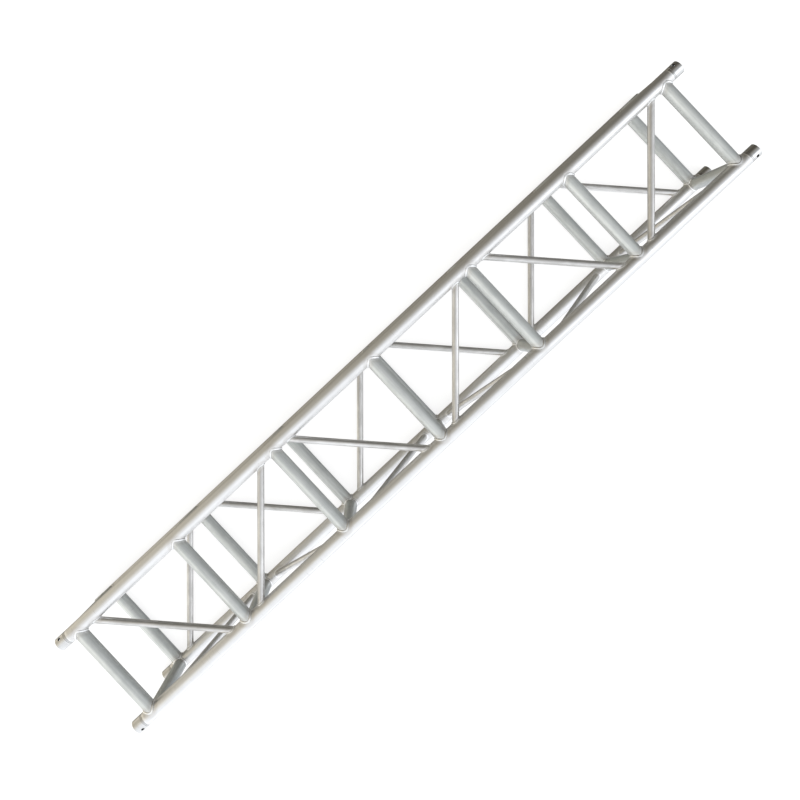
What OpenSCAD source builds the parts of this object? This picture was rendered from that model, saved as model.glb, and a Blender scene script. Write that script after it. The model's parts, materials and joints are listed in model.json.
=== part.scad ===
// Square box truss section for stage and rigging work, lying on two of its four chords.
// X runs along the truss, Z is up, and the origin is the middle of the underside.
// Four faces join the chords. Each face is the same ladder of rungs and zigzag braces,
// turned a quarter turn about the truss axis, so that the zigzags of neighbouring faces
// never reach a chord at the same station. All sizes are in millimetres.

/* [Truss] */
// Overall length, end face to end face
truss_length = 3000; // [2950:10:3050]
// Distance between the axes of neighbouring chords, the same both ways
chord_pitch = 400; // [300:5:600]
// Distance between the axes of neighbouring rungs
bay_length = 472; // [465:1:474]

/* [Chords] */
// Outside diameter of the four chord tubes
chord_d = 50; // [48:0.5:60]
// Wall of the chord tubes
chord_wall = 3; // [3:0.5:4]

/* [Rungs] */
// Outside diameter of the rung tubes
rung_d = 48; // [30:0.5:48]
// Wall of the rung tubes
rung_wall = 3; // [2:0.5:4]

/* [Braces] */
// Outside diameter of the zigzag brace tubes
brace_d = 25; // [16:0.5:28]
// Wall of the brace tubes
brace_wall = 2; // [1.5:0.5:3]
// Distance along the chord axis from a rung's axis to a brace's axis
brace_offset = 50; // [45:1:80]

/* [Receivers] */
// Length of the receiver that shows beyond the chord tube
receiver_head = 48; // [46:1:50]
// Length of the receiver's spigot inside the chord tube
receiver_spigot = 32; // [20:1:40]
// Gap all round between the spigot and the chord tube's bore
spigot_gap = 0.1; // [0.05:0.05:0.2]
// Diameter of the conical socket at its mouth
socket_mouth_d = 38; // [36:0.5:39]
// Diameter of the conical socket at its deep end
socket_deep_d = 31; // [28:0.5:33]
// Depth of the conical part of the socket
socket_depth = 62; // [50:1:66]
// Diameter of the clear hole behind the socket
relief_d = 26; // [20:1:27]
// Chamfer on the outer edge of the end face
end_chamfer = 1.5; // [0.5:0.25:2]
// Lead-in chamfer on the mouth of the socket
mouth_chamfer = 1; // [0.5:0.25:1.5]
// Diameter of the hole for the locking pin, through both walls
pin_hole_d = 12; // [10:0.5:13]
// Distance from the end face to the axis of the pin hole
pin_hole_in = 20; // [18:0.5:24]

/* [Welds] */
// Leg of the fillet weld round a rung
rung_weld = 5; // [3:0.5:6]
// Leg of the fillet weld round a brace
brace_weld = 4; // [2:0.5:5]
// Depth of the flush seam between chord and receiver
seam_depth = 1.5; // [1:0.25:2]
// Half the width of that seam at the surface
seam_half_width = 2; // [1:0.25:3]

/* [Hidden] */
$fn = 64;
bays = 6;
chord_r = chord_d / 2;
rung_r = rung_d / 2;
brace_r = brace_d / 2;
half_pitch = chord_pitch / 2;
half_length = truss_length / 2;
outer_size = chord_pitch + chord_d;
chord_half = half_length - receiver_head;
receiver_length = receiver_head + receiver_spigot;
// Cutters start this far outside what they cut
over = 10;

// The faces and chords in quarter-turn order, starting from the top
FACES = ["top", "right", "bottom", "left"];
CHORDS = ["top_left", "top_right", "bottom_right", "bottom_left"];
ENDS = ["a", "b"];
PAIRS = ["1_2", "3_4", "5_6"];

function station_x(i) = (i - bays / 2) * bay_length;

// Places children, drawn for the top face or the top left chord, at quarter turn k
module quarter(k) {
    translate([0, 0, outer_size / 2]) rotate([90 * k, 0, 0]) children();
}

// Solid cylinder along X between two X positions, on the axis y, z
module along_x(x0, x1, r, y, z) {
    translate([x0, y, z]) rotate([0, 90, 0]) cylinder(h = x1 - x0, r = r);
}

// Both chords of the top face as solid cylinders, for coping the tubes that meet them
module chord_pair(x0, x1, r) {
    for (side = [-1, 1]) along_x(x0, x1, r, side * half_pitch, half_pitch);
}

// Everything on the top face's side of the two mitre planes through the chord axes
module mitre_wedge(x0, x1) {
    reach = half_pitch + chord_d;
    translate([x0, 0, 0]) rotate([90, 0, 90]) linear_extrude(x1 - x0)
        polygon([[0, 0], [reach, reach], [-reach, reach]]);
}

// Chord tube, its ends bevelled for the seam weld
module chord() {
    bore_r = chord_r - chord_wall;
    color("#b9b8b2")
    translate([-chord_half, half_pitch, half_pitch]) rotate([0, 90, 0]) rotate_extrude()
        polygon([
            [bore_r, 0],
            [chord_r - seam_depth, 0],
            [chord_r, seam_half_width],
            [chord_r, 2 * chord_half - seam_half_width],
            [chord_r - seam_depth, 2 * chord_half],
            [bore_r, 2 * chord_half]
        ]);
}

// Turned receiver with its end face at the origin and its body along +Z
module receiver_body() {
    spigot_r = chord_r - chord_wall - spigot_gap;
    mouth_r = socket_mouth_d / 2;
    rotate_extrude() polygon([
        [mouth_r + mouth_chamfer, 0],
        [chord_r - end_chamfer, 0],
        [chord_r, end_chamfer],
        [chord_r, receiver_head - seam_half_width],
        [chord_r - seam_depth, receiver_head],
        [spigot_r, receiver_head],
        [spigot_r, receiver_length],
        [relief_d / 2, receiver_length],
        [relief_d / 2, socket_depth],
        [socket_deep_d / 2, socket_depth],
        [mouth_r, mouth_chamfer]
    ]);
}

// Receiver at the end of the top left chord: side -1 is end a, side 1 is end b.
// The pin hole points at the corner of the section.
module receiver(side) {
    color("#cfcfca")
    translate([side * half_length, half_pitch, half_pitch]) difference() {
        rotate([0, -side * 90, 0]) receiver_body();
        translate([-side * pin_hole_in, 0, 0]) rotate([-45, 0, 0])
            cylinder(h = chord_d + 2 * over, d = pin_hole_d, center = true);
    }
}

// Rung tube across the top face at station i, coped to both chords and mitred at 45 degrees
// where it meets the rungs of the neighbouring faces
module rung(i) {
    x = station_x(i);
    x0 = x - rung_d;
    x1 = x + rung_d;
    color("#a3a49f")
    intersection() {
        mitre_wedge(x0, x1);
        difference() {
            translate([x, 0, half_pitch]) rotate([90, 0, 0])
                cylinder(h = chord_pitch, r = rung_r, center = true);
            translate([x, 0, half_pitch]) rotate([90, 0, 0])
                cylinder(h = chord_pitch + over, r = rung_r - rung_wall, center = true);
            chord_pair(x0 - over, x1 + over, chord_r);
        }
    }
}

// Cylinder on the axis of the top face's brace in bay b, from one chord axis to the other
module brace_axis(b, r) {
    start_side = b % 2 == 0 ? 1 : -1;
    run = bay_length - 2 * brace_offset;
    angle = atan2(chord_pitch, run);
    translate([station_x(b) + brace_offset, start_side * half_pitch, half_pitch])
        rotate([0, 90, -start_side * angle])
            cylinder(h = norm([run, chord_pitch]), r = r);
}

// One brace tube of the top face, coped to both chords
module brace(b) {
    color("#9b9a92")
    difference() {
        brace_axis(b, brace_r);
        brace_axis(b, brace_r - brace_wall);
        chord_pair(station_x(b), station_x(b + 1), chord_r);
    }
}

// Two neighbouring braces of the top face, which form one V
module brace_pair(first) {
    for (b = [first, first + 1]) brace(b);
}

// Fillet round the top face's rung at station i, on the top left chord
module rung_fillet(i) {
    x = station_x(i);
    x0 = x - rung_d;
    x1 = x + rung_d;
    intersection() {
        mitre_wedge(x0, x1);
        difference() {
            intersection() {
                translate([x, half_pitch, half_pitch]) rotate([90, 0, 0])
                    cylinder(h = half_pitch, r = rung_r + rung_weld);
                along_x(x0, x1, chord_r + rung_weld, half_pitch, half_pitch);
            }
            translate([x, half_pitch + over, half_pitch]) rotate([90, 0, 0])
                cylinder(h = half_pitch, r = rung_r);
            along_x(x0 - over, x1 + over, chord_r, half_pitch, half_pitch);
        }
    }
}

// Fillet round the end of the top face's brace in bay b, on the chord at side 1 or -1
module brace_fillet(b, side) {
    x0 = station_x(b);
    x1 = station_x(b + 1);
    difference() {
        intersection() {
            brace_axis(b, brace_r + brace_weld);
            along_x(x0, x1, chord_r + brace_weld, side * half_pitch, half_pitch);
        }
        brace_axis(b, brace_r);
        along_x(x0 - over, x1 + over, chord_r, side * half_pitch, half_pitch);
    }
}

// Flush seam between the top left chord and its receiver at end side
module seam(side) {
    translate([side * chord_half - seam_half_width, half_pitch, half_pitch])
        rotate([0, 90, 0]) rotate_extrude()
            polygon([
                [chord_r - seam_depth, seam_half_width],
                [chord_r, 0],
                [chord_r, 2 * seam_half_width]
            ]);
}

// Every weld on the top left chord. The top face meets it as its first chord and the left
// face, three quarter turns on, as its second.
module welds() {
    color("#dcdcda") {
        intersection() {
            cube([truss_length, outer_size, outer_size], center = true);
            union() {
                for (i = [0 : bays]) {
                    rung_fillet(i);
                    rotate([270, 0, 0]) mirror([0, 1, 0]) rung_fillet(i);
                }
            }
        }
        for (b = [0 : bays - 1]) {
            brace_fillet(b, 1);
            rotate([270, 0, 0]) brace_fillet(b, -1);
        }
        for (side = [-1, 1]) seam(side);
    }
}

for (k = [0 : 3]) {
    quarter(k) chord();
    quarter(k) welds();
    for (e = [0, 1])
        quarter(k) receiver(2 * e - 1);
    for (i = [0 : bays])
        quarter(k) rung(i);
    for (p = [0 : len(PAIRS) - 1])
        quarter(k) brace_pair(2 * p);
}
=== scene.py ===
"""Looks of a square box truss section: drawn tubes, turned receivers and rippled welds.

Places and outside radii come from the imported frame. Sizes that it can't tell, such as walls
and the inside of a receiver, repeat the part's own. Shapes are drawn for the top face, or for
the top left chord, and turned about the truss axis in quarter turns. Units are metres.
"""

import json
import math
import random

import bmesh
import bpy
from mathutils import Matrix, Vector, kdtree, noise


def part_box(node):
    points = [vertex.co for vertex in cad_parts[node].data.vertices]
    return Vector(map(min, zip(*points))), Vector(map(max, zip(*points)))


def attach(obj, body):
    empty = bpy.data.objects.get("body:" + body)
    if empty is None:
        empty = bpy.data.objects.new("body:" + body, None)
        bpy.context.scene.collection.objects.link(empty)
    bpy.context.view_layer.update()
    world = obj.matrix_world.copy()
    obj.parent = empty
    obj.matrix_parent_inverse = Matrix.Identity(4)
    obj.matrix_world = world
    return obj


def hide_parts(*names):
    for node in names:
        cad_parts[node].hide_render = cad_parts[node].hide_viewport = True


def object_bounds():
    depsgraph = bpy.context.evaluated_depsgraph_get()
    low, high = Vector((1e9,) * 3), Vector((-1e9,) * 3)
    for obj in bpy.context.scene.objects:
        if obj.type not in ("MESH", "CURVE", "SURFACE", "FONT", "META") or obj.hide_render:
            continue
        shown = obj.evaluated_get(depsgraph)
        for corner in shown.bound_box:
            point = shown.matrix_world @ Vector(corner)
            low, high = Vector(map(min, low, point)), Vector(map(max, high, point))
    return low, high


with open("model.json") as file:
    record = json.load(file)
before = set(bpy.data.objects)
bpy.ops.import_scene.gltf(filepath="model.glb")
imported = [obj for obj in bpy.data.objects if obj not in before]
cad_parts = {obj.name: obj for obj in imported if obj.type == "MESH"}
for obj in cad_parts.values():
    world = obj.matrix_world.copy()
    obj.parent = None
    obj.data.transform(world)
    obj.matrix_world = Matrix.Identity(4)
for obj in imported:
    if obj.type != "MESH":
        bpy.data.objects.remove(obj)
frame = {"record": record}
CAD_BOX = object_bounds()
MM = 0.001

# ---------------------------------------------------------------- sizes

FACES = ["top", "right", "bottom", "left"]
CHORDS = ["top_left", "top_right", "bottom_right", "bottom_left"]
ENDS = {"a": -1, "b": 1}
STATIONS = 7
UP = Vector((0, 0, 1))


def middle(node):
    """The middle of a node's box, and the box's size."""
    low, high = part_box(node)
    return (low + high) / 2, high - low


CENTRE_Z = (CAD_BOX[0].z + CAD_BOX[1].z) / 2
HALF_LENGTH = CAD_BOX[1].x
chord_middle, chord_size = middle("chord_top_left")
CHORD_R = chord_size.y / 2
CHORD_HALF = chord_size.x / 2
HALF_PITCH = chord_middle.y
RUNG_R = middle("rung_top_1")[1].x / 2
STATION_X = [middle(f"rung_top_{i + 1}")[0].x for i in range(STATIONS)]
BRACE_R = middle("braces_top_1_2")[1].z / 2
BRACE_OFFSET = 50 * MM  # from a rung's axis to a brace's axis, along the chord axis
CHORD_WALL, RUNG_WALL, BRACE_WALL = 3 * MM, 3 * MM, 2 * MM
OUTER = HALF_PITCH + CHORD_R  # from the truss axis to the outside of the section

# The seam between chord and receiver: the depth of its groove, and half its width
SEAM_DEPTH, SEAM_HALF_WIDTH = 1.5 * MM, 2 * MM


def quarter(k, point):
    """A point drawn for the top face, turned to quarter k and put in the row frame."""
    x, y, z = point
    for _ in range(k):
        y, z = -z, y
    return (x, y, z + CENTRE_Z)


# ---------------------------------------------------------------- meshes

SEGMENTS_CHORD, SEGMENTS_RUNG, SEGMENTS_BRACE = 72, 60, 36
SEGMENTS_RECEIVER, SEGMENTS_HOLE = 96, 48
SHARP_ANGLE = math.radians(38)


def finish_piece(name, mesh, material, node):
    """Makes a mesh the piece that replaces one CAD node."""
    piece = bpy.data.objects.new(name, mesh)
    bpy.context.collection.objects.link(piece)
    mesh.materials.append(material)
    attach(piece, "root")
    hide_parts(node)
    return piece


def store_vectors(mesh, name, values):
    attribute = mesh.attributes.new(name, "FLOAT_VECTOR", "POINT")
    attribute.data.foreach_set("vector", [c for v in values for c in v])


def store_numbers(mesh, name, values):
    mesh.attributes.new(name, "FLOAT", "POINT").data.foreach_set("value", values)


def grain_shift(node):
    """A place in the textures of its own for each piece, so that no two tubes look alike."""
    return 20 * random.Random(node).random()


def circle(segments):
    return [2 * math.pi * i / segments for i in range(segments)]


def join_rings(count, size, start=0, close=True):
    """Quads between closed rings of points, and from the last ring to the first if close."""
    faces = []
    for j in range(count if close else count - 1):
        a, b = start + j * size, start + (j + 1) % count * size
        for i in range(size):
            n = (i + 1) % size
            faces.append((a + i, a + n, b + n, b + i))
    return faces


def outward(mesh):
    """Turns a closed mesh's faces to point outwards."""
    work = bmesh.new()
    work.from_mesh(mesh)
    bmesh.ops.recalc_face_normals(work, faces=work.faces)
    work.to_mesh(mesh)
    work.free()
    return mesh


class Parts:
    """Collects points, faces and places in the textures of the shells that form one piece."""

    def __init__(self):
        self.points, self.faces, self.grain = [], [], []

    def add_rings(self, rings, grain):
        """Adds one closed shell: rings of points, joined in order and back to the first."""
        start = len(self.points)
        for ring, ring_grain in zip(rings, grain):
            self.points += ring
            self.grain += ring_grain
        self.faces += join_rings(len(rings), len(rings[0]), start)

    def build(self, name, material, node):
        mesh = bpy.data.meshes.new(name)
        mesh.from_pydata(self.points, [], self.faces)
        mesh.validate()
        store_vectors(mesh, "grain", self.grain)
        mesh.shade_smooth()
        mesh.set_sharp_from_angle(angle=SHARP_ANGLE)
        return finish_piece(name, mesh, material, node)


# ---------------------------------------------------------------- tubes


def end_steps(length):
    """Distances along a tube, close together near its ends, where welding marks it."""
    near = [d * MM for d in (0, 3, 6, 9, 12, 16, 20, 26, 34, 44)]
    far = [length - d for d in reversed(near)]
    count = 6
    gap = (far[0] - near[-1]) / count
    return near + [near[-1] + gap * j for j in range(1, count)] + far


def coped_tube(parts, k, origin, axis, side, up, r, wall, segments, ends, shift):
    """A tube whose two ends are cut to a shape. ends(offset) gives the two distances along
    axis, from origin, at which the line through that offset from the axis starts and stops."""
    rings, grain = [], []

    def ring_at(radius, place):
        ring, ring_grain = [], []
        for angle in circle(segments):
            across, above = radius * math.sin(angle), radius * math.cos(angle)
            offset = side * across + up * above
            along = place(*ends(offset))
            ring.append(quarter(k, origin + offset + axis * along))
            ring_grain.append((along + shift, across, above))
        rings.append(ring)
        grain.append(ring_grain)

    first, last = ends(Vector((0, 0, 0)))
    steps = end_steps(last - first)
    half = len(steps) // 2
    for step in steps[:half]:
        ring_at(r, lambda a, b, s=step: a + s)
    for step in steps[half:]:
        ring_at(r, lambda a, b, s=steps[-1] - step: b - s)
    ring_at(r - wall, lambda a, b: b)
    ring_at(r - wall, lambda a, b: a)
    parts.add_rings(rings, grain)


def saddle(z):
    """How far the chord's surface stands from its axis, at height z from that axis."""
    return math.sqrt(max(CHORD_R**2 - z * z, 0))


def rung_reach(z):
    """Half the length of a rung's wall at height z above its axis: it stops at the chord, or
    at the 45 degree mitre with the rung of the neighbouring face."""
    return min(HALF_PITCH - saddle(z), HALF_PITCH + z)


def rung(i, k, material, node):
    parts = Parts()
    coped_tube(
        parts, k, Vector((STATION_X[i], 0, HALF_PITCH)), Vector((0, 1, 0)), Vector((1, 0, 0)),
        UP, RUNG_R, RUNG_WALL, SEGMENTS_RUNG,
        lambda offset: (-rung_reach(offset.z), rung_reach(offset.z)), grain_shift(node),
    )
    return parts.build("tube_" + node, material, node)


def brace_line(b):
    """Start, unit direction and length of the top face's brace in bay b, chord axis to axis."""
    start_side = 1 if b % 2 == 0 else -1
    start = Vector((STATION_X[b] + BRACE_OFFSET, start_side * HALF_PITCH, HALF_PITCH))
    end = Vector((STATION_X[b + 1] - BRACE_OFFSET, -start_side * HALF_PITCH, HALF_PITCH))
    return start, (end - start).normalized(), (end - start).length


def brace_ends(b, offset):
    """Distances from the brace's start at which the line at that offset leaves and meets the
    chords."""
    start, axis, length = brace_line(b)
    stand = saddle(offset.z)
    first = (stand - abs(start.y) + abs(start.y + offset.y)) / abs(axis.y)
    last = length - (stand - abs(start.y) + abs(-start.y + offset.y)) / abs(axis.y)
    return first, last


def braces(pair, k, material, node):
    parts = Parts()
    for b in pair:
        start, axis, _ = brace_line(b)
        coped_tube(
            parts, k, start, axis, UP.cross(axis), UP, BRACE_R, BRACE_WALL, SEGMENTS_BRACE,
            lambda offset, b=b: brace_ends(b, offset), grain_shift(node) + b,
        )
    return parts.build("tubes_" + node, material, node)


def chord_steps():
    """Places along a chord, close together where rungs and braces are welded to it."""
    marked = 105 * MM
    gap = 5 * MM
    places = [-CHORD_HALF, -CHORD_HALF + SEAM_HALF_WIDTH]
    while places[-1] + gap < CHORD_HALF - SEAM_HALF_WIDTH:
        last = places[-1]
        near = min(abs(last - x) for x in STATION_X) < marked
        places.append(last + (gap if near else 4 * gap))
    return places + [CHORD_HALF - SEAM_HALF_WIDTH, CHORD_HALF]


def chord(k, material, node):
    parts = Parts()
    rings, grain = [], []
    shift = grain_shift(node)
    places = chord_steps()
    start, end = places[0], places[-1]
    rows = [(start, CHORD_R - SEAM_DEPTH)]
    rows += [(x, CHORD_R) for x in places[1:-1]]
    rows += [(end, CHORD_R - SEAM_DEPTH), (end, CHORD_R - CHORD_WALL), (start, CHORD_R - CHORD_WALL)]
    for x, r in rows:
        ring, ring_grain = [], []
        for angle in circle(SEGMENTS_CHORD):
            y, z = r * math.sin(angle), r * math.cos(angle)
            ring.append(quarter(k, (x, HALF_PITCH + y, HALF_PITCH + z)))
            ring_grain.append((x + shift, y, z))
        rings.append(ring)
        grain.append(ring_grain)
    parts.add_rings(rings, grain)
    return parts.build("tube_" + node, material, node)


# ---------------------------------------------------------------- receivers

MOUNTS = {m["name"]: m for m in frame["record"]["mounts"]}
SOCKET_MOUTH_R, SOCKET_DEEP_R, RELIEF_R = 19 * MM, 15.5 * MM, 13 * MM
HEAD, SPIGOT, SOCKET_DEPTH = 48 * MM, 32 * MM, 62 * MM
MOUTH_CHAMFER, EDGE_ROUND = 1 * MM, 1.5 * MM
SPIGOT_R = CHORD_R - CHORD_WALL - 0.1 * MM
GROOVE_DEPTH = 0.8 * MM
GROOVES = [(37.4, 39.4), (42.0, 44.0)]  # where the two grooves start and end, mm behind the face
GROOVE_SLOPE = 0.5  # mm along the axis in which a groove's side comes down
COUNTERSINK = 0.6 * MM


def receiver_profile():
    """Depth behind the end face and radius, round the turned section, starting at the mouth."""
    r = CHORD_R
    edge = [(0.0, SOCKET_MOUTH_R + MOUTH_CHAMFER), (0.0, r - EDGE_ROUND)]
    for step in range(1, 5):
        turn = math.pi / 2 * step / 4
        edge.append((EDGE_ROUND * (1 - math.cos(turn)), r - EDGE_ROUND * (1 - math.sin(turn))))
    body = [(x * MM, r) for x in range(4, 37, 2)]
    for first, last in GROOVES:
        floor_r = r - GROOVE_DEPTH
        body += [(first * MM, r), ((first + GROOVE_SLOPE) * MM, floor_r)]
        body += [((last - GROOVE_SLOPE) * MM, floor_r), (last * MM, r)]
    seat = [(HEAD - SEAM_HALF_WIDTH, r), (HEAD, r - SEAM_DEPTH), (HEAD, SPIGOT_R)]
    spigot = [(HEAD + SPIGOT, SPIGOT_R), (HEAD + SPIGOT, RELIEF_R)]
    taper = [(SOCKET_DEPTH, RELIEF_R), (SOCKET_DEPTH, SOCKET_DEEP_R)]
    depth = SOCKET_DEPTH
    while depth > 6 * MM:
        depth -= 4 * MM
        share = (depth - MOUTH_CHAMFER) / (SOCKET_DEPTH - MOUTH_CHAMFER)
        taper.append((depth, SOCKET_MOUTH_R + (SOCKET_DEEP_R - SOCKET_MOUTH_R) * share))
    return edge + body + seat + spigot + taper + [(MOUTH_CHAMFER, SOCKET_MOUTH_R)]


def receiver(k, end, material, node):
    side = ENDS[end]
    hole = MOUNTS[f"pin_hole_{CHORDS[k]}_{end}"]
    hole_place, hole_axis = Vector(hole["pos_m"]), Vector(hole["axis"])
    profile = receiver_profile()
    points = []
    for depth, r in profile:
        x = side * (HALF_LENGTH - depth)
        for angle in circle(SEGMENTS_RECEIVER):
            y, z = r * math.sin(angle), r * math.cos(angle)
            points.append(quarter(k, (x, HALF_PITCH + y, HALF_PITCH + z)))
    mesh = bpy.data.meshes.new("turned_" + node)
    mesh.from_pydata(points, [], join_rings(len(profile), SEGMENTS_RECEIVER))
    mesh = drilled(outward(mesh), hole_place, hole_axis, hole["dims"]["r_mm"] * MM)
    axis_point = Vector(quarter(k, (0, HALF_PITCH, HALF_PITCH)))
    origin = axis_point - Vector((grain_shift(node), 0, 0))
    store_vectors(mesh, "grain", [v.co - origin for v in mesh.vertices])
    store_inside(mesh, axis_point)
    set_turned_normals(mesh, axis_point, hole_place, hole_axis)
    return finish_piece("turned_" + node, mesh, material, node)


def store_inside(mesh, axis_point):
    """Stores how much painted shade each point gets: 1 in the socket and the pin hole, less in the
    grooves.
    """
    # Painted shade: the bore, the pin hole and the grooves are darkened as recesses where shade
    # falls.
    bore_shade, groove_shade = 1.0, 0.42
    inside = []
    for v in mesh.vertices:
        from_axis = math.hypot(v.co.y - axis_point.y, v.co.z - axis_point.z)
        depth = HALF_LENGTH - abs(v.co.x)
        bored = depth > EDGE_ROUND and from_axis < CHORD_R - 3.5 * MM
        grooved = depth > 30 * MM and from_axis < CHORD_R - GROOVE_DEPTH / 2
        inside.append(bore_shade if bored else groove_shade if grooved else 0.0)
    store_numbers(mesh, "inside", inside)


def drilled(mesh, place, axis, r):
    """The mesh with a countersunk round hole cut right through it along axis. The cutter's
    two cones run on past the surface."""
    past = 4 * MM
    wide = (CHORD_R + past, r + COUNTERSINK + past)
    neck = (CHORD_R - COUNTERSINK, r)
    rows = [(-wide[0], wide[1]), (-neck[0], neck[1]), neck, wide]
    side = axis.cross(Vector((1, 0, 0))).normalized()
    other = axis.cross(side)
    points = []
    for along, radius in rows:
        for angle in circle(SEGMENTS_HOLE):
            across = side * (radius * math.cos(angle)) + other * (radius * math.sin(angle))
            points.append(place + axis * along + across)
    faces = join_rings(len(rows), SEGMENTS_HOLE, close=False)
    faces.append(tuple(range(SEGMENTS_HOLE)))
    faces.append(tuple(range(len(points) - SEGMENTS_HOLE, len(points))))
    cutter_mesh = bpy.data.meshes.new("cutter")
    cutter_mesh.from_pydata(points, [], faces)
    outward(cutter_mesh)
    body = bpy.data.objects.new("body_to_drill", mesh)
    cutter = bpy.data.objects.new("drill", cutter_mesh)
    for o in (body, cutter):
        bpy.context.collection.objects.link(o)
    cut = body.modifiers.new("hole", "BOOLEAN")
    cut.operation, cut.solver, cut.object = "DIFFERENCE", "EXACT", cutter
    bpy.context.view_layer.update()
    drilled_body = body.evaluated_get(bpy.context.evaluated_depsgraph_get())
    done = bpy.data.meshes.new_from_object(drilled_body)
    for o in (body, cutter):
        bpy.data.objects.remove(o)
    return done


def set_turned_normals(mesh, axis_point, hole_place, hole_axis):
    """Smooth normals of the turned and drilled surfaces, which the cut's long faces lack."""
    close_enough = 0.97  # cosine of the most that a smooth normal may lean from its face's
    mesh.shade_smooth()
    normals = [Vector((0, 0, 0))] * len(mesh.loops)
    for face in mesh.polygons:
        lean = Vector((face.normal.x, 0, 0))
        rest = math.sqrt(max(1 - lean.x * lean.x, 0))
        for loop in face.loop_indices:
            place = mesh.vertices[mesh.loops[loop].vertex_index].co
            out = Vector((0, place.y - axis_point.y, place.z - axis_point.z)).normalized()
            away = place - hole_place
            bore = (away - hole_axis * away.dot(hole_axis)).normalized()
            choices = [(lean + out * rest).normalized(), lean - out * rest, -bore]
            best = max(choices, key=lambda n: n.dot(face.normal))
            smooth = best.dot(face.normal) > close_enough
            normals[loop] = best if smooth else face.normal.copy()
    mesh.normals_split_custom_set(normals)


# ---------------------------------------------------------------- welds

RUNG_LEG, BRACE_LEG = 5 * MM, 4 * MM
RUNG_SWELL, BRACE_SWELL = 0.34, 0.3  # how far a bead bulges, as a share of its leg
RIPPLE, RIPPLE_STEPS = 3.6 * MM, 6  # length of one scale, and its rings of points
ROOTS = []  # points along every weld, by which the tubes know how near a weld they are


def ripple_height(phase):
    """Height of overlapping scales, from 0 in the notch between two to 1 on the crest."""
    return math.sqrt(abs(math.sin(math.pi * phase)))


def ring_count(length):
    """How many rings of points a bead of that length has: a whole number of scales."""
    return round(length / RIPPLE) * RIPPLE_STEPS


def bead(parts, k, path, leg, seed, swell):
    """A closed fillet bead. path(angle) gives the root, the unit direction along the smaller
    tube and the one along the chord, in the top face's frame."""
    across = 8
    buried = 1.0 * MM
    rough = [path(angle)[0] for angle in circle(90)]
    length = sum((a - b).length for a, b in zip(rough, rough[1:] + rough[:1]))
    rings, grain = [], []
    for i, angle in enumerate(circle(ring_count(length))):
        root, along_tube, along_chord = path(angle)
        ROOTS.append(quarter(k, root))
        slow = noise.noise(Vector((math.cos(angle) * 1.6, math.sin(angle) * 1.6, seed)))
        size = leg * (1 + 0.12 * slow)
        toe_tube = root + along_tube * size
        toe_chord = root + along_chord * size
        out = (along_tube + along_chord).normalized()
        scales = i / RIPPLE_STEPS
        ring, ring_grain = [], []
        for j in range(across + 1):
            v = 2 * j / across - 1
            crown = 1 - v * v
            phase = scales + 0.55 * crown + 0.25 * slow
            lift = size * swell * crown * (0.72 + 0.4 * ripple_height(phase))
            point = toe_tube.lerp(toe_chord, (v + 1) / 2) + out * (lift - 0.25 * MM * (1 - crown))
            ring.append(quarter(k, inside_section(point)))
            ring_grain.append((scales * RIPPLE, v * leg, seed))
        ring.append(quarter(k, inside_section(root - out * buried)))
        ring_grain.append((scales * RIPPLE, 0, seed))
        rings.append(ring)
        grain.append(ring_grain)
    parts.add_rings(rings, grain)


def inside_section(point):
    """Keeps a weld within its own side of the mitre and within the section's outer faces."""
    margin, give = 0.7 * MM, 0.6 * MM
    p = point.copy()
    for axis in (1, 2):
        over = abs(p[axis]) - (OUTER - margin)
        if over > 0:
            eased = give * (1 - math.exp(-over / (1.0 * MM)))
            p[axis] = math.copysign(OUTER - margin + eased, p[axis])
    if abs(p.y) > p.z:
        mean = (abs(p.y) + p.z) / 2
        p.y, p.z = math.copysign(mean, p.y), mean
    return p


def rung_path(i, side):
    """Where the top face's rung at station i meets the chord at that side, or the mitre."""
    def path(angle):
        x, z = RUNG_R * math.sin(angle), RUNG_R * math.cos(angle)
        reach = rung_reach(z)
        root = Vector((STATION_X[i] + x, side * reach, HALF_PITCH + z))
        radial = Vector((math.sin(angle), 0, math.cos(angle)))
        if HALF_PITCH - saddle(z) <= HALF_PITCH + z:
            out = Vector((0, side * (reach - HALF_PITCH), z)).normalized()
        else:
            out = Vector((math.sin(angle) * 0.5, -side, 0)).normalized()
        along_chord = radial - out * radial.dot(out)
        if along_chord.length < 0.05:
            along_chord = Vector((0, 0, math.copysign(1, z)))
        return root, Vector((0, -side, 0)), along_chord.normalized()

    return path


def brace_path(b, side):
    """Where the top face's brace in bay b meets the chord at that side."""
    start, axis, _ = brace_line(b)
    at_start = (start.y > 0) == (side > 0)
    flank = UP.cross(axis)

    def path(angle):
        radial = flank * math.sin(angle) + UP * math.cos(angle)
        offset = radial * BRACE_R
        first, last = brace_ends(b, offset)
        root = start + offset + axis * (first if at_start else last)
        out = Vector((0, root.y - side * HALF_PITCH, root.z - HALF_PITCH)).normalized()
        along_chord = (radial - out * radial.dot(out)).normalized()
        return root, axis if at_start else -axis, along_chord

    return path


def seam_bead(parts, k, side):
    """The flush girth seam between a chord and its receiver."""
    across = 6
    half_width = SEAM_HALF_WIDTH + 0.1 * MM
    toe_depth = 0.45 * MM
    axis_point = Vector((side * CHORD_HALF, HALF_PITCH, HALF_PITCH))
    rings, grain = [], []
    for i, angle in enumerate(circle(ring_count(2 * math.pi * CHORD_R))):
        out = Vector((0, math.sin(angle), math.cos(angle)))
        scales = i / RIPPLE_STEPS
        ring, ring_grain = [], []
        for j in range(across + 1):
            v = 2 * j / across - 1
            crown = 1 - v * v
            raised = 0.55 + 0.4 * ripple_height(scales + 0.5 * crown)
            surface = out * (CHORD_R - toe_depth * (1 - crown * raised))
            ring.append(quarter(k, axis_point + surface + Vector((v * half_width, 0, 0))))
            ring_grain.append((scales * RIPPLE, v * RUNG_LEG, k))
        ring.append(quarter(k, axis_point + out * (CHORD_R - SEAM_DEPTH)))
        ring_grain.append((scales * RIPPLE, 0, k))
        rings.append(ring)
        grain.append(ring_grain)
    parts.add_rings(rings, grain)


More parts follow.
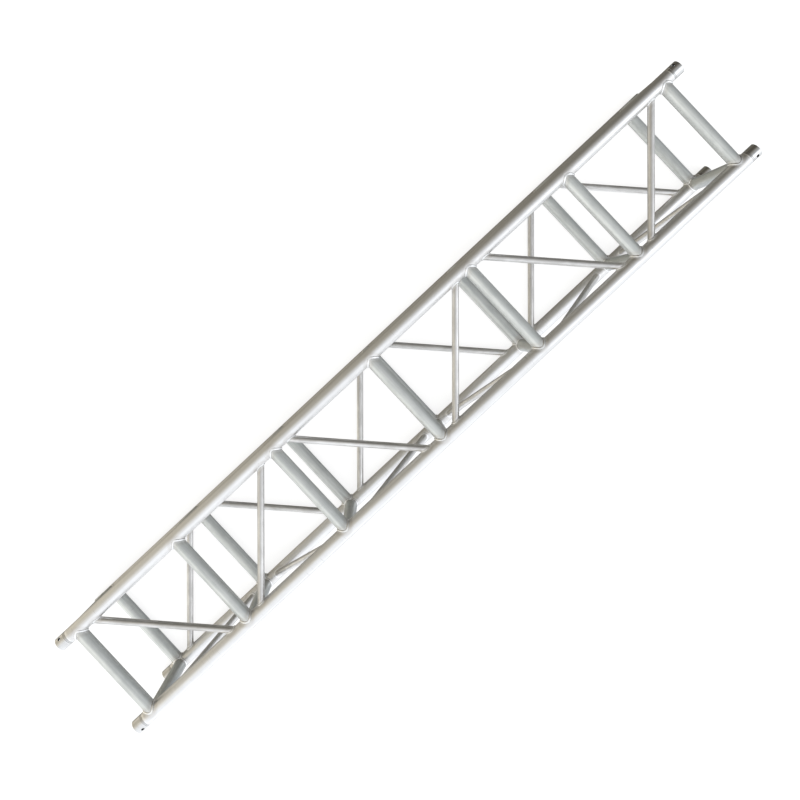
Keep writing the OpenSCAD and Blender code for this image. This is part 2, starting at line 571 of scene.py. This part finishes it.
def welds(k, material, node):
    """Every weld on chord k: of its own face as the first chord, and of the face before."""
    parts = Parts()
    before = (k + 3) % 4
    for i in range(STATIONS):
        seed = 10 * k + i
        bead(parts, k, rung_path(i, 1), RUNG_LEG, seed, RUNG_SWELL)
        bead(parts, before, rung_path(i, -1), RUNG_LEG, seed + 0.5, RUNG_SWELL)
    for b in range(STATIONS - 1):
        seed = 50 + 10 * k + b
        bead(parts, k, brace_path(b, 1), BRACE_LEG, seed, BRACE_SWELL)
        bead(parts, before, brace_path(b, -1), BRACE_LEG, seed + 0.5, BRACE_SWELL)
    for side in ENDS.values():
        seam_bead(parts, k, side)
    piece = parts.build("beads_" + node, material, node)
    outward(piece.data)


def mark_heat(pieces):
    """Stores on each point how far it is from the nearest weld, for the marks of welding."""
    tree = kdtree.KDTree(len(ROOTS))
    for index, root in enumerate(ROOTS):
        tree.insert(root, index)
    tree.balance()
    for piece in pieces:
        distances = [tree.find(v.co)[2] for v in piece.data.vertices]
        store_numbers(piece.data, "weld_distance", distances)


# ---------------------------------------------------------------- node graphs


class Graph:
    """A node tree, with short calls to make nodes and join them."""

    def __init__(self, owner):
        owner.use_nodes = True
        self.tree = owner.node_tree
        self.tree.nodes.clear()

    def add(self, kind, **settings):
        made = self.tree.nodes.new(kind)
        for key, value in settings.items():
            setattr(made, key, value)
        return made

    def put(self, socket, value):
        """Sets a socket to a number, a tuple or another node's output."""
        if isinstance(value, bpy.types.NodeSocket):
            self.tree.links.new(value, socket)
        else:
            socket.default_value = value

    def join(self, kind, a, b, **settings):
        """A node that takes two values, with its first output."""
        made = self.add(kind, **settings)
        self.put(made.inputs[0], a)
        self.put(made.inputs[1], b)
        return made.outputs[0]

    def math(self, operation, a, b=0.0, clamp=False):
        return self.join("ShaderNodeMath", a, b, operation=operation, use_clamp=clamp)

    def times(self, vector, factor):
        return self.join("ShaderNodeVectorMath", vector, factor, operation="MULTIPLY")

    def dot(self, vector, other):
        made = self.add("ShaderNodeVectorMath", operation="DOT_PRODUCT")
        self.put(made.inputs[0], vector)
        self.put(made.inputs[1], other)
        return made.outputs["Value"]

    def part(self, vector, letter):
        """The X, Y or Z of a vector."""
        made = self.add("ShaderNodeSeparateXYZ")
        self.put(made.inputs[0], vector)
        return made.outputs[letter]

    def ramp(self, value, low, high, to_low=0.0, to_high=1.0):
        """to_low where value is low, easing to to_high where it is high."""
        made = self.add("ShaderNodeMapRange", interpolation_type="SMOOTHSTEP")
        self.put(made.inputs["Value"], value)
        made.inputs["From Min"].default_value = low
        made.inputs["From Max"].default_value = high
        made.inputs["To Min"].default_value = to_low
        made.inputs["To Max"].default_value = to_high
        return made.outputs["Result"]

    def mix(self, factor, a, b):
        made = self.add("ShaderNodeMix", data_type="RGBA")
        self.put(made.inputs[0], factor)
        self.put(made.inputs[6], a)
        self.put(made.inputs[7], b)
        return made.outputs[2]


class Material(Graph):
    """A material's nodes, round one Principled shader."""

    def __init__(self, name):
        self.material = bpy.data.materials.new(name)
        super().__init__(self.material)
        self.shader = self.add("ShaderNodeBsdfPrincipled")
        output = self.add("ShaderNodeOutputMaterial")
        self.put(output.inputs["Surface"], self.shader.outputs[0])

    def set(self, **values):
        """Sets the shader's own sockets. An underscore stands for a space in a name."""
        for name, value in values.items():
            self.put(self.shader.inputs[name.replace("_", " ")], value)

    def attribute(self, name, output):
        made = self.add("ShaderNodeAttribute", attribute_type="GEOMETRY", attribute_name=name)
        return made.outputs[output]

    def noise(self, vector, scale, detail=3.0, roughness=0.5):
        """Noise from 0 to 1, with its features spaced by 1 / scale along each axis."""
        made = self.add("ShaderNodeTexNoise")
        self.put(made.inputs["Vector"], self.times(vector, scale))
        made.inputs["Scale"].default_value = 1.0
        made.inputs["Detail"].default_value = detail
        made.inputs["Roughness"].default_value = roughness
        return made.outputs["Fac"]

    def bump(self, height, distance):
        made = self.add("ShaderNodeBump")
        made.inputs["Strength"].default_value = 1.0
        made.inputs["Distance"].default_value = distance
        self.put(made.inputs["Height"], height)
        self.set(Normal=made.outputs[0])


def rgba(grey, warm=0.0):
    """A near-neutral colour. A positive warm leans to yellow, a negative one to blue."""
    return (grey * (1 + warm), grey, grey * (1 - warm), 1)


# ---------------------------------------------------------------- materials

WELD_PALE, WELD_BROWN = rgba(0.86), rgba(0.42, 0.12)
SCUFF_GREY = rgba(0.5, 0.02)
# Distances from a weld at which its mark starts to show, and shows fully
TUBE_HALO, TUBE_TINT, RECEIVER_HALO = (13 * MM, 6.5 * MM), (24 * MM, 13 * MM), (12 * MM, 6 * MM)
# Distances from the middle of a bead, likewise, for the painted shade along its toes
TOE_SHADE = (3.0 * MM, 4.3 * MM)


def drawn_tube(name, light, dark, rough, streak, mottle, line_depth):
    """Mill-finish drawn tube: lengthwise lines and streaks, faint blotches, handling scuffs,
    and the pale etched halo and brown tint that welding leaves."""
    g = Material(name)
    grain = g.attribute("grain", "Vector")
    lines = g.noise(grain, (2.5, 420, 420), detail=4)
    bands = g.noise(grain, (1.2, 95, 95), detail=2)
    blotch = g.noise(grain, (16, 30, 30), detail=5, roughness=0.6)
    pits = g.noise(grain, (520, 520, 520), detail=2)
    scuff = g.ramp(g.noise(grain, (330, 26, 26), detail=3), 0.6, 0.7)
    scuff_where = g.ramp(g.noise(grain, (7, 20, 20), detail=2), 0.54, 0.66)
    scuffs = g.math("MULTIPLY", scuff, scuff_where)

    streaks = g.math("MULTIPLY", g.ramp(bands, 0.3, 0.7), streak)
    blotches = g.math("MULTIPLY", g.ramp(blotch, 0.3, 0.72), mottle)
    fine_lines = g.math("MULTIPLY", g.ramp(lines, 0.35, 0.65), 0.35 * streak)
    tone = g.math("ADD", g.math("ADD", streaks, blotches), fine_lines, clamp=True)

    uneven = g.math("MULTIPLY", g.math("SUBTRACT", blotch, 0.5), 9 * MM)
    distance = g.math("ADD", g.attribute("weld_distance", "Fac"), uneven)
    halo = g.ramp(distance, *TUBE_HALO)
    tint = g.ramp(distance, *TUBE_TINT)

    colour = g.mix(tone, light, dark)
    colour = g.mix(g.math("MULTIPLY", scuffs, 0.35), colour, SCUFF_GREY)
    colour = g.mix(g.math("MULTIPLY", tint, 0.22), colour, WELD_BROWN)
    colour = g.mix(g.math("MULTIPLY", halo, 0.45), colour, WELD_PALE)
    roughness = g.math("ADD", g.math("MULTIPLY", tone, 0.16), rough)
    roughness = g.math("ADD", roughness, g.math("MULTIPLY", scuffs, 0.12))
    roughness = g.math("ADD", roughness, g.math("MULTIPLY", halo, 0.14))
    g.set(Base_Color=colour, Metallic=1.0, Roughness=roughness)
    height = g.math("ADD", lines, g.math("MULTIPLY", pits, 0.5))
    g.bump(g.math("SUBTRACT", height, g.math("MULTIPLY", scuffs, 0.8)), line_depth)
    return g.material


def turned_receiver(name):
    """Machined aluminium: fine rings from the lathe, near-mirror, with a few dull patches,
    and painted shade, near black, where it is bored or grooved."""
    g = Material(name)
    grain = g.attribute("grain", "Vector")
    rings = g.noise(grain, (2600, 4, 4), detail=2)
    bands = g.noise(grain, (420, 3, 3), detail=3)
    scratch = g.ramp(g.noise(grain, (90, 900, 900), detail=2), 0.66, 0.72)
    patch = g.ramp(g.noise(grain, (40, 40, 40), detail=4), 0.45, 0.7)
    halo = g.ramp(g.attribute("weld_distance", "Fac"), *RECEIVER_HALO)
    inside = g.ramp(g.attribute("inside", "Fac"), 0.05, 0.7)

    tone = g.math("ADD", g.math("MULTIPLY", bands, 0.4), g.math("MULTIPLY", patch, 0.3), clamp=True)
    colour = g.mix(tone, rgba(0.74, 0.005), rgba(0.52, 0.02))
    colour = g.mix(g.math("MULTIPLY", halo, 0.6), colour, WELD_PALE)
    # Painted shade: the socket, the pin hole and the grooves darken to near black.
    colour = g.mix(inside, colour, rgba(0.07, 0.05))
    roughness = g.math("ADD", g.math("MULTIPLY", patch, 0.1), 0.13)
    roughness = g.math("ADD", roughness, g.math("MULTIPLY", inside, 0.3))
    roughness = g.math("ADD", roughness, g.math("MULTIPLY", scratch, 0.1))
    roughness = g.math("ADD", roughness, g.math("MULTIPLY", halo, 0.2))
    g.set(Base_Color=colour, Metallic=1.0, Roughness=roughness)
    height = g.math("ADD", g.math("MULTIPLY", rings, 0.5), g.math("SUBTRACT", bands, scratch))
    g.bump(height, 0.012 * MM)
    return g.material


def weld_metal(name):
    """Filler metal as it froze: bright scales, duller and faintly sooty in patches, and darker along
    the toes as painted shade in the crease.
    """
    g = Material(name)
    grain = g.attribute("grain", "Vector")
    cloud = g.noise(grain, (160, 160, 160), detail=4)
    fine = g.noise(grain, (1500, 1500, 1500), detail=2)
    soot = g.math("MULTIPLY", g.ramp(cloud, 0.5, 0.75), 0.4)
    toe = g.ramp(g.math("ABSOLUTE", g.part(grain, "Y")), *TOE_SHADE)
    colour = g.mix(soot, rgba(0.93), rgba(0.66, 0.03))
    # Painted shade: the bead darkens to brown along its toes, in the crease with the tube.
    colour = g.mix(g.math("MULTIPLY", toe, 0.8), colour, rgba(0.2, 0.08))
    roughness = g.math("ADD", g.math("MULTIPLY", cloud, 0.25), 0.2)
    g.set(Base_Color=colour, Metallic=1.0, Roughness=roughness)
    g.bump(fine, 0.03 * MM)
    return g.material


# ---------------------------------------------------------------- stage


def plain_floor():
    """A wide pale floor. It isn't seen in the metal, which shows the room instead."""
    half = 60.0
    corners = [(-half, -half, 0), (half, -half, 0), (half, half, 0), (-half, half, 0)]
    mesh = bpy.data.meshes.new("floor")
    mesh.from_pydata(corners, [], [(0, 1, 2, 3)])
    g = Material("floor_white")
    g.set(Base_Color=(0.35, 0.35, 0.35, 1), Roughness=1.0, Specular_IOR_Level=0.0)
    g.set(Emission_Color=(1, 1, 1, 1), Emission_Strength=0.76)
    mesh.materials.append(g.material)
    floor = bpy.data.objects.new("floor", mesh)
    floor.location.z = -0.5 * MM
    floor.visible_glossy = False
    bpy.context.collection.objects.link(floor)


def floor_wash():
    """A wide soft light from above, which gives the floor its faint shadows. It points down,
    as an unturned light does, and isn't seen in the metal."""
    data = bpy.data.lights.new("floor_wash", "AREA")
    data.shape = "RECTANGLE"
    data.size = data.size_y = 9
    data.energy = 160
    light = bpy.data.objects.new("floor_wash", data)
    light.location = (0, 0, 6)
    light.visible_camera = False
    light.visible_glossy = False
    bpy.context.collection.objects.link(light)


BRIGHT_SIDE = Vector((-0.62, -0.72, -0.30)).normalized()
# How far a direction leans to the bright side, from -1 to 1, and how bright the room is there
ROOM_LIGHT = [(-1.0, 0.08), (-0.92, 0.12), (-0.82, 0.22), (-0.70, 0.40), (-0.52, 0.46),
              (-0.38, 0.56), (-0.25, 0.80), (-0.10, 0.95), (0.10, 1.08), (0.50, 1.22), (1.0, 1.34)]
BRIGHTEST = ROOM_LIGHT[-1][1]
# The room's tint away from the warm side, and towards it
WARM_SIDE = Vector((-0.10, 0.95, 0.0))
COOL_TINT, WARM_TINT = (0.97, 1.0, 1.035, 1), (1.12, 1.04, 0.86, 1)
# A broad lamp: the cosines of the angle from it where its glow starts and is full
LAMP_SIDE = Vector((0.56, -0.60, 0.57)).normalized()
LAMP_EDGE, LAMP_GLOW = (0.87, 0.95), 1.65
# Heights of a direction between which the room darkens below, and how dark it gets
BELOW, BELOW_LIGHT = (-0.25, -0.75), 0.32
BELOW_SPARED = 0.3  # how much less the bright side darkens below
SEEN_WHITE = (0.97, 0.97, 0.97, 1)


def surroundings():
    """Plain surroundings that the metal mirrors: bright on one side and above with one soft
    lamp, falling to a dim warm room on the other side and below. The camera sees white."""
    world = bpy.data.worlds.new("studio")
    bpy.context.scene.world = world
    g = Graph(world)
    direction = g.add("ShaderNodeTexCoord").outputs["Generated"]
    to_bright_side = g.dot(direction, BRIGHT_SIDE)

    fall = g.add("ShaderNodeValToRGB")
    for index, (lean, light) in enumerate(ROOM_LIGHT):
        stops = fall.color_ramp.elements
        stop = stops[index] if index < 2 else stops.new(1.0)
        stop.position = (lean + 1) / 2
        stop.color = (light / BRIGHTEST,) * 3 + (1,)
    g.put(fall.inputs[0], g.math("MULTIPLY", g.math("ADD", to_bright_side, 1.0), 0.5))
    tint = g.mix(g.ramp(g.dot(direction, WARM_SIDE), -0.35, 0.85), COOL_TINT, WARM_TINT)
    spared = g.math("MULTIPLY", to_bright_side, BELOW_SPARED)
    height = g.math("ADD", g.part(direction, "Z"), spared)
    below = g.ramp(height, *BELOW, 1.0, BELOW_LIGHT)
    lamp = g.ramp(g.dot(direction, LAMP_SIDE), *LAMP_EDGE, 1.0, LAMP_GLOW)

    room = g.add("ShaderNodeBackground")
    g.put(room.inputs["Color"], g.times(fall.outputs["Color"], tint))
    g.put(room.inputs["Strength"], g.math("MULTIPLY", g.math("MULTIPLY", below, lamp), BRIGHTEST))
    seen = g.add("ShaderNodeBackground")
    g.put(seen.inputs["Color"], SEEN_WHITE)
    choose = g.add("ShaderNodeMixShader")
    g.put(choose.inputs[0], g.add("ShaderNodeLightPath").outputs["Is Camera Ray"])
    g.put(choose.inputs[1], room.outputs[0])
    g.put(choose.inputs[2], seen.outputs[0])
    g.put(g.add("ShaderNodeOutputWorld").inputs["Surface"], choose.outputs[0])


def camera():
    """Looks almost straight down, with the truss running to the upper right of the view."""
    data = bpy.data.cameras.new("camera")
    data.lens = 35.7
    data.sensor_width = 36
    data.shift_x, data.shift_y = 0.04, -0.0985
    data.clip_start, data.clip_end = 0.05, 200
    cam = bpy.data.objects.new("camera", data)
    cam.location = (0.108, 0.282, CENTRE_Z + 3.010)
    cam.rotation_euler = [math.radians(a) for a in (-0.15, 0.48, -43.07)]
    bpy.context.collection.objects.link(cam)
    bpy.context.scene.camera = cam


# ---------------------------------------------------------------- the truss section

camera()
surroundings()
floor_wash()
plain_floor()
bpy.context.scene.view_settings.view_transform = "Standard"

chord_metal = drawn_tube(
    "chord_tube", light=rgba(0.86, 0.004), dark=rgba(0.72, 0.01), rough=0.32,
    streak=0.5, mottle=0.3, line_depth=0.03 * MM,
)
rung_metal = drawn_tube(
    "rung_tube", light=(0.785, 0.80, 0.785, 1), dark=(0.595, 0.617, 0.61, 1), rough=0.42,
    streak=0.55, mottle=0.45, line_depth=0.05 * MM,
)
brace_metal = drawn_tube(
    "brace_tube", light=rgba(0.85, 0.012), dark=rgba(0.58, 0.02), rough=0.31,
    streak=0.6, mottle=0.6, line_depth=0.09 * MM,
)
receiver_metal = turned_receiver("receiver_turned")
bead_metal = weld_metal("weld_bead")

marked = []  # the pieces that welding marks
for k, chord_name in enumerate(CHORDS):
    marked.append(chord(k, chord_metal, f"chord_{chord_name}"))
    for end in ENDS:
        marked.append(receiver(k, end, receiver_metal, f"receiver_{chord_name}_{end}"))
    welds(k, bead_metal, f"welds_{chord_name}")
for k, face_name in enumerate(FACES):
    for i in range(STATIONS):
        marked.append(rung(i, k, rung_metal, f"rung_{face_name}_{i + 1}"))
    for first in range(0, STATIONS - 1, 2):
        node = f"braces_{face_name}_{first + 1}_{first + 2}"
        marked.append(braces((first, first + 1), k, brace_metal, node))
mark_heat(marked)
